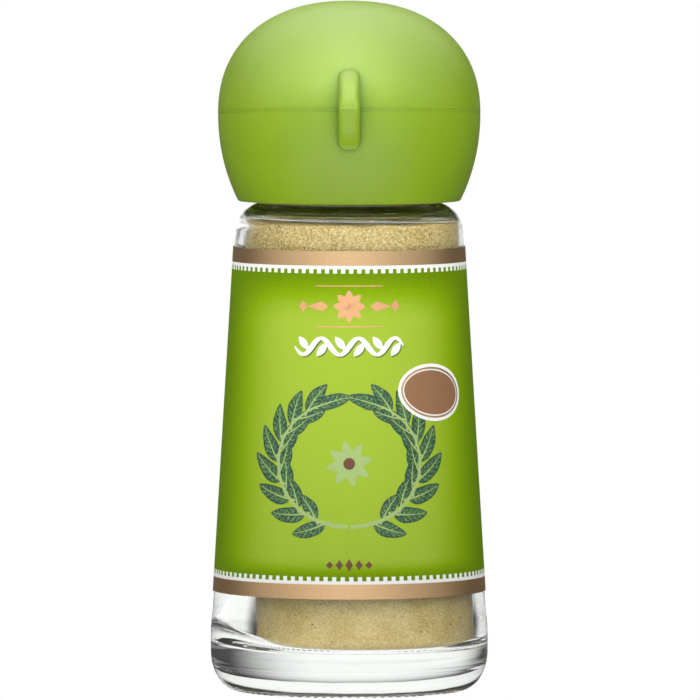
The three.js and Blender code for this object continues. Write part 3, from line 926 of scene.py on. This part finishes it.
class Look(Nodes):
    """A material's node tree. The materials are kept by name."""

    made = {}

    def __init__(self, name):
        self.material = bpy.data.materials.new(name)
        Look.made[name] = self.material
        self.material.use_nodes = True
        super().__init__(self.material.node_tree)
        self.shader = self.tree.nodes["Principled BSDF"]
        self.output = self.tree.nodes["Material Output"]
        self.place = self.add("TexCoord").outputs["Object"]

    def set(self, **values):
        for key, value in values.items():
            self.put(self.shader.inputs[key.replace("_", " ")], value)

    def off_front(self):
        """The angle round the jar from the middle of its front, to either side."""
        x, y, _ = self.split(self.place)
        return self.size_of(self.math("ARCTAN2", x, self.times(y, -1.0)))

    def noise(self, size_mm, detail=3.0):
        inputs = {"Vector": self.place, "Scale": 1 / (size_mm * MM), "Detail": detail, "Roughness": 0.55}
        return self.add("TexNoise", inputs).outputs["Fac"]

    def cells(self, size_mm, output="Color"):
        inputs = {"Vector": self.place, "Scale": 1 / (size_mm * MM)}
        return self.add("TexVoronoi", inputs).outputs[output]

    def ramp(self, value, stops):
        node = self.add("ValToRGB", {"Fac": value})
        elements = node.color_ramp.elements
        while len(elements) < len(stops):
            elements.new(1.0)
        for element, (position, colour) in zip(elements, stops):
            element.position, element.color = position, srgb(colour)
        return node.outputs["Color"]

    def bump(self, height, strength, distance_mm):
        inputs = {"Height": height, "Strength": strength, "Distance": distance_mm * MM}
        self.put(self.shader.inputs["Normal"], self.add("Bump", inputs).outputs[0])


def srgb(colour):
    """A colour given in 0 to 255 steps of sRGB as linear RGBA."""
    parts = [c / 255 for c in colour]
    return [p / 12.92 if p <= 0.04045 else ((p + 0.055) / 1.055) ** 2.4 for p in parts] + [1.0]


def glass_look():
    look = Look("jar_glass")
    look.set(Base_Color=srgb((250, 253, 250)), Roughness=0.0, IOR=1.52, Transmission_Weight=1.0)
    look.bump(look.noise(7.0, 1.0), 0.05, 1.0)
    # Shadow rays, and light that has been mirrored many times inside the glass, go straight through.
    clear = look.add("BsdfTransparent", {"Color": (0.97, 0.98, 0.97, 1)}).outputs[0]
    path = look.add("LightPath").outputs
    trapped = look.math("GREATER_THAN", path["Glossy Depth"], 2.5)
    straight = look.larger(look.larger(path["Is Shadow Ray"], trapped), 0.03)
    both = look.add("MixShader", {0: straight, 1: look.shader.outputs[0], 2: clear})
    look.put(look.output.inputs["Surface"], both.outputs[0])


# Where shade from the tab is painted on the plastic: between which distances from the middle of the front
# the
# # painted shade fades, how far forward they are measured from, and how far off something can be to give
# shade.
TAB_SHADE_INNER, TAB_SHADE_OUTER, TAB_SHADE_Y, TAB_SHADE_REACH = 3.6, 5.8, 18.0, 3.2


def cap_look(name):
    """Moulded plastic: a little light gets into it, and its shine is broad."""
    look = Look(name)
    tone = look.noise(9.0, 2.0)
    base = look.mix(look.remap(tone, 0.3, 0.7), srgb((132, 166, 11)), srgb((136, 170, 15)))
    # Painted shade: beside and under the tab, the plastic's colour is darkened towards this deeper green and
    # its coat is thinned, as far as ambient occlusion finds the tab close by.
    unshaded = look.add("AmbientOcclusion", {"Distance": TAB_SHADE_REACH * MM}, samples=8).outputs["AO"]
    x, y, _ = look.split(look.place)
    off_tab = look.larger(look.size_of(x), look.plus(y, TAB_SHADE_Y * MM))
    unshaded = look.larger(unshaded, look.remap(off_tab, TAB_SHADE_INNER * MM, TAB_SHADE_OUTER * MM))
    base = look.mix(look.remap(unshaded, 0.5, 1.0, smooth=False), srgb((98, 138, 0)), base)
    look.set(
        Base_Color=base,
        Roughness=look.remap(look.noise(2.5), 0.3, 0.7, 0.36, 0.44),
        Subsurface_Weight=0.08,
        Subsurface_Radius=(0.6, 1.0, 0.2),
        Subsurface_Scale=0.0008,
        IOR=1.52,
        Coat_Weight=look.remap(unshaded, 0.6, 1.0, 0.0, 0.52, smooth=False),
        Coat_Roughness=0.38,
    )
    look.bump(look.noise(0.35, 2.0), 0.04, 0.05)


DEEP_AT_TOP, DEEP_AT_BOTTOM = 9.0, 4.2  # how far the deeper green reaches in from the borders


def label_look():
    """Printed paper: yellow-green in the middle of the front and deeper green towards the top and bottom
    borders, with painted shade deepening it towards the sides.
    """
    look = Look("label_green")
    half = (LABEL_TOP - LABEL_BOTTOM) / 2 - BAND_HEIGHT
    up = look.plus(look.split(look.place)[2], -(LABEL_BOTTOM + LABEL_TOP) / 2 * MM)
    to_top = look.remap(up, (half - DEEP_AT_TOP) * MM, half * MM)
    rise = look.larger(to_top, look.remap(up, (DEEP_AT_BOTTOM - half) * MM, -half * MM))
    # Painted shade: the green is also deepened towards the sides, by the angle away from the front.
    side = look.remap(look.off_front(), 0.5, 1.4)
    deep_print_and_shade = look.math("MULTIPLY_ADD", rise, look.one_less(side), side)
    grain = look.remap(look.noise(0.22, 2.0), 0.25, 0.75, -0.13, 0.13, smooth=False)
    deep_print_and_shade = look.plus(deep_print_and_shade, grain)
    green = look.ramp(deep_print_and_shade, [(0.0, (165, 194, 60)), (0.5, (137, 171, 8)), (1.0, (103, 138, 0))])
    look.set(Base_Color=green, Roughness=0.5, IOR=1.4, Specular_IOR_Level=0.1)
    look.bump(look.noise(0.3, 2.0), 0.05, 0.03)


def ink_look(name, colour, roughness, grain, metallic):
    """A flat printed colour with the print's fine grain."""
    look = Look(name)
    low = [max(c - grain, 0) for c in colour]
    high = [min(c + grain, 255) for c in colour]
    shade = look.ramp(look.noise(0.25, 2.0), [(0.25, low), (0.75, high)])
    look.set(Base_Color=shade, Roughness=roughness, Metallic=metallic)
    look.bump(look.noise(0.3, 2.0), 0.05, 0.03)
    return look


def band_look(name, colour):
    """A copper ink with painted shade that makes it darker towards the sides."""
    look = ink_look(name, colour, 0.5, 5, 0.9)
    shade = look.shader.inputs["Base Color"].links[0].from_socket
    # Painted shade: the ink is darkened by the angle away from the front of the jar.
    dark = look.mix(1.0, shade, (0.73, 0.7, 0.68, 1.0), "MULTIPLY")
    look.set(Base_Color=look.mix(look.remap(look.off_front(), 0.66, 1.12), shade, dark))


def leaf_look():
    """Stippled leaf print: dark along the edges and between the side veins."""
    look = Look("leaf_ink")
    along = look.add("Attribute", attribute_name="along").outputs["Fac"]
    across = look.add("Attribute", attribute_name="across").outputs["Fac"]
    off_rib = look.size_of(across)
    slant = look.plus(look.times(along, 7.0), look.times(off_rib, -1.3))
    vein = look.math("SINE", look.times(slant, TAU))
    dark = look.plus(look.times(vein, 0.16), look.times(look.remap(off_rib, 0.72, 1.0), 0.5))
    dots = look.remap(look.cells(0.21, "Distance"), 0.1, 0.75, 0.85, 0.1, smooth=False)
    light = look.plus(dots, look.remap(look.noise(0.5), 0.3, 0.7, -0.15, 0.15))
    green = look.ramp(look.math("SUBTRACT", light, dark), [
        (0.0, (30, 62, 56)),
        (0.4, (54, 98, 68)),
        (0.75, (112, 155, 70)),
        (1.0, (150, 184, 90)),
    ])
    look.set(Base_Color=green, Roughness=0.45)


def powder_look():
    """Finely rubbed sage: tan dust with dark and pale grains."""
    look = Look("ground_sage")
    cloud = look.remap(look.noise(3.5, 3.0), 0.3, 0.7)
    dust = look.mix(cloud, srgb((204, 176, 110)), srgb((228, 203, 142)))
    grains = look.add("SeparateColor", {0: look.cells(0.19)}).outputs[0]
    tone = look.ramp(grains, [
        (0.0, (112, 80, 32)),
        (0.08, (138, 105, 50)),
        (0.2, (186, 156, 94)),
        (0.6, (212, 185, 119)),
        (0.88, (228, 206, 148)),
        (1.0, (246, 236, 194)),
    ])
    up = look.split(look.place)[2]
    fine = look.mix(look.remap(up, 10 * MM, 70 * MM, 0.35, 0.75, smooth=False), dust, tone)
    # A few grains are dark flecks.
    flecks = look.add("SeparateColor", {0: look.cells(0.5)}).outputs[1]
    near = look.remap(look.cells(0.5, "Distance"), 0.35, 0.2)
    fleck = look.times(look.remap(flecks, 0.98, 0.985), near)
    look.set(Base_Color=look.mix(fleck, fine, srgb((92, 68, 28))), Roughness=0.95)
    look.bump(look.noise(0.22, 3.0), 0.5, 0.12)


def seal_look():
    look = Look("liner_foam")
    shade = look.ramp(look.noise(0.4, 4.0), [(0.3, (222, 222, 216)), (0.7, (240, 240, 236))])
    look.set(Base_Color=shade, Roughness=0.7)
    look.bump(look.cells(0.12, "Distance"), 0.2, 0.03)


# Each ink's colour, roughness, grain and metallic share.
INKS = {
    "copper_foil": ((238, 180, 130), 0.35, 4, 0.5),
    "badge_ink": ((158, 116, 82), 0.45, 5, 0.2),
    "brown_ink": ((104, 66, 36), 0.5, 6, 0.0),
    "white_ink": ((252, 252, 247), 0.5, 3, 0.0),
    "cream_ink": ((216, 216, 196), 0.5, 3, 0.0),
    "shadow_ink": ((74, 104, 18), 0.5, 6, 0.0),
    "pale_ink": ((166, 192, 115), 0.5, 6, 0.0),
}


def make_materials():
    glass_look()
    cap_look("cap_plastic")
    cap_look("lid_plastic")
    label_look()
    powder_look()
    seal_look()
    band_look("copper_band", (201, 169, 127))
    band_look("brown_band", (208, 173, 130))
    for name, values in INKS.items():
        ink_look(name, *values)
    leaf_look()


def finish_piece(piece, look, body):
    """Gives a piece its material, lets it ride on its body, and returns it."""
    piece.data.materials.clear()
    piece.data.materials.append(Look.made[look])
    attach(piece, body)
    return piece


# ---- Studio ----

# One large soft light in front and above, a white wall behind and dark to the sides.
KEY_LIGHT, SHINE, FRONT_FLOOR, BACK_WALL, SURROUNDINGS = 1.88, 5.25, 2.9, 1.04, 0.04
# The white part of the wall behind, and of the floor near the jar: its turn to the left, and its
# half width to the edge and to where it is fully white. The floor's is narrower farther away.
WALL_TURN, WALL_EDGE, WALL_FULL = np.radians([14, 68, 22]).tolist()
FLOOR_TURN, FLOOR_EDGE, FLOOR_FULL = np.radians([9, 69.5, 53]).tolist()
FAR_TURN, FAR_NARROWER = np.radians([3, 25]).tolist()
FLOOR_FAR, FLOOR_ALL_WHITE = (0.17, 0.26), (0.045, 0.03)
# The sweeps of the sky between which the key light and the shine rise and fall, where the wall
# behind begins, and where the sky above it is dark for what is seen through the glass.
# Then the turns between which the floor's lit front begins.
KEY_RISE, KEY_FALL, SHINE_RISE, SHINE_FALL, WALL_RISE, ABOVE_WALL, FRONT_TURN = np.radians([
    [2, 74],
    [176, 128],
    [4, 24],
    [165, 50],
    [166, 176],
    [110, 140],
    [115, 150],
]).tolist()
# How far to the left the lights stand, and between which X of a direction they fade to the sides.
KEY_ASIDE, KEY_FADE, SHINE_ASIDE, SHINE_FADE = 0.06, (1.25, 0.68), 0.04, (1.14, 0.06)
FLOOR_LIT, FLOOR_HALF = (0.04, 0.14), 1200


def make_floor():
    corners = [(-1, -1, 0), (1, -1, 0), (1, 1, 0), (-1, 1, 0)]
    floor = object_from("floor", np.multiply(corners, FLOOR_HALF), [(0, 1, 2, 3)])
    look = Look("floor_white")
    look.set(Base_Color=(0.05, 0.05, 0.05, 1), Roughness=0.9, Specular_IOR_Level=0.0)
    path = look.add("LightPath").outputs
    x, y, _ = look.split(look.place)
    turn = look.math("ARCTAN2", x, y)
    in_front = look.remap(look.size_of(turn), *FRONT_TURN)
    away = look.add("VectorMath", {0: look.place}, operation="LENGTH").outputs["Value"]
    lit = look.times(in_front, look.remap(away, *FLOOR_LIT, 0.0, FRONT_FLOOR))
    lit = look.times(lit, look.one_less(path["Is Glossy Ray"]))
    off_wall = look.plus(turn, look.remap(away, *FLOOR_FAR, FLOOR_TURN, FAR_TURN))
    narrower = look.remap(away, *FLOOR_FAR, 0.0, FAR_NARROWER)
    near = look.remap(look.plus(look.size_of(off_wall), narrower), FLOOR_EDGE, FLOOR_FULL)
    seen = look.larger(near, look.remap(away, *FLOOR_ALL_WHITE))
    seen = look.times(seen, look.math("LESS_THAN", path["Diffuse Depth"], 0.5))
    seen = look.times(look.larger(seen, in_front), BACK_WALL)
    glow = look.math("MULTIPLY_ADD", look.math("SUBTRACT", seen, lit), look.seen_through(path), lit)
    look.set(Emission_Color=(1, 1, 1, 1), Emission_Strength=glow)
    white = look.add("Emission", {"Color": (1, 1, 1, 1), "Strength": 1.0}).outputs[0]
    both = look.add("MixShader", {0: path["Is Camera Ray"], 1: look.shader.outputs[0], 2: white})
    look.put(look.output.inputs["Surface"], both.outputs[0])
    floor.data.materials.append(look.material)


def make_sky():
    """The light all round. Sweep is 0 at the front, grows upwards and is 180 degrees behind."""
    world = bpy.data.worlds.new("studio")
    bpy.context.scene.world = world
    world.use_nodes = True
    sky = Nodes(world.node_tree)
    x, y, z = sky.split(sky.add("TexCoord").outputs["Generated"])
    sweep = sky.math("ARCTAN2", z, sky.times(y, -1.0))
    off_shine = sky.size_of(sky.plus(x, SHINE_ASIDE))
    off_key = sky.size_of(sky.plus(x, KEY_ASIDE))
    key = sky.remap(sweep, *KEY_RISE, 0.0, KEY_LIGHT)
    key = sky.times(key, sky.remap(sweep, *KEY_FALL))
    key = sky.times(key, sky.remap(off_key, *KEY_FADE))
    shine = sky.remap(sweep, *SHINE_RISE, 0.0, SHINE)
    shine = sky.times(shine, sky.remap(sweep, *SHINE_FALL, smooth=False))
    shine = sky.times(shine, sky.remap(off_shine, *SHINE_FADE, smooth=False))
    behind = sky.remap(sky.size_of(sweep), *WALL_RISE)
    off_wall = sky.size_of(sky.plus(sky.math("ARCTAN2", x, y), WALL_TURN))
    behind = sky.times(behind, sky.remap(off_wall, WALL_EDGE, WALL_FULL))
    # The glass sees the whole of the wall behind, and what is matt is only touched by it.
    path = sky.add("LightPath").outputs
    share = sky.math("MULTIPLY_ADD", path["Is Diffuse Ray"], 0.3, 0.08)
    clear = sky.times(sky.seen_through(path), sky.math("LESS_THAN", path["Diffuse Depth"], 0.5))
    share = sky.larger(share, clear)
    key = sky.times(key, sky.one_less(sky.times(clear, sky.remap(sweep, *ABOVE_WALL))))
    shine = sky.times(shine, sky.one_less(path["Is Singular Ray"], 0.95))
    front = sky.mix(path["Is Glossy Ray"], key, shine)
    light = sky.plus(front, SURROUNDINGS)
    light = sky.math("MULTIPLY_ADD", sky.times(behind, share), BACK_WALL, light)
    shown = sky.mix(path["Is Camera Ray"], light, (1, 1, 1, 1))
    sky.put(world.node_tree.nodes["Background"].inputs["Color"], shown)


def make_studio():
    make_floor()
    make_sky()
    bpy.context.scene.view_settings.view_transform = "Standard"


# ---- The whole ----


def make_all():
    make_materials()
    jar = finish_piece(make_jar(), "jar_glass", "bottle")
    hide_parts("jar")
    powder = finish_piece(make_powder(), "ground_sage", "bottle")
    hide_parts("ground_sage")
    finish_piece(make_dust(), "ground_sage", "bottle")
    label = label_sector("label_paper", LABEL_BOTTOM, LABEL_TOP, LABEL_GAP, LABEL_GAP + LABEL_THICK, rows=12)
    finish_piece(label, "label_green", "bottle")
    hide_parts("label")
    make_border()
    make_wreath()
    make_top_ornament()
    make_scroll()
    make_small_ornament()
    make_badge()
    make_back_panels()
    seal = finish_piece(make_seal(), "liner_foam", "seal")
    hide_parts("seal_ring")
    cap = finish_piece(make_cap(), "cap_plastic", "cap")
    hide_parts("cap_base")
    lid = finish_piece(make_lid(), "lid_plastic", "lid")
    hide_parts("lid")
    web = make_web()
    web.data.materials.append(Look.made["cap_plastic"])
    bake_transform(web)
    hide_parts("hinge_web")


make_all()
make_studio()
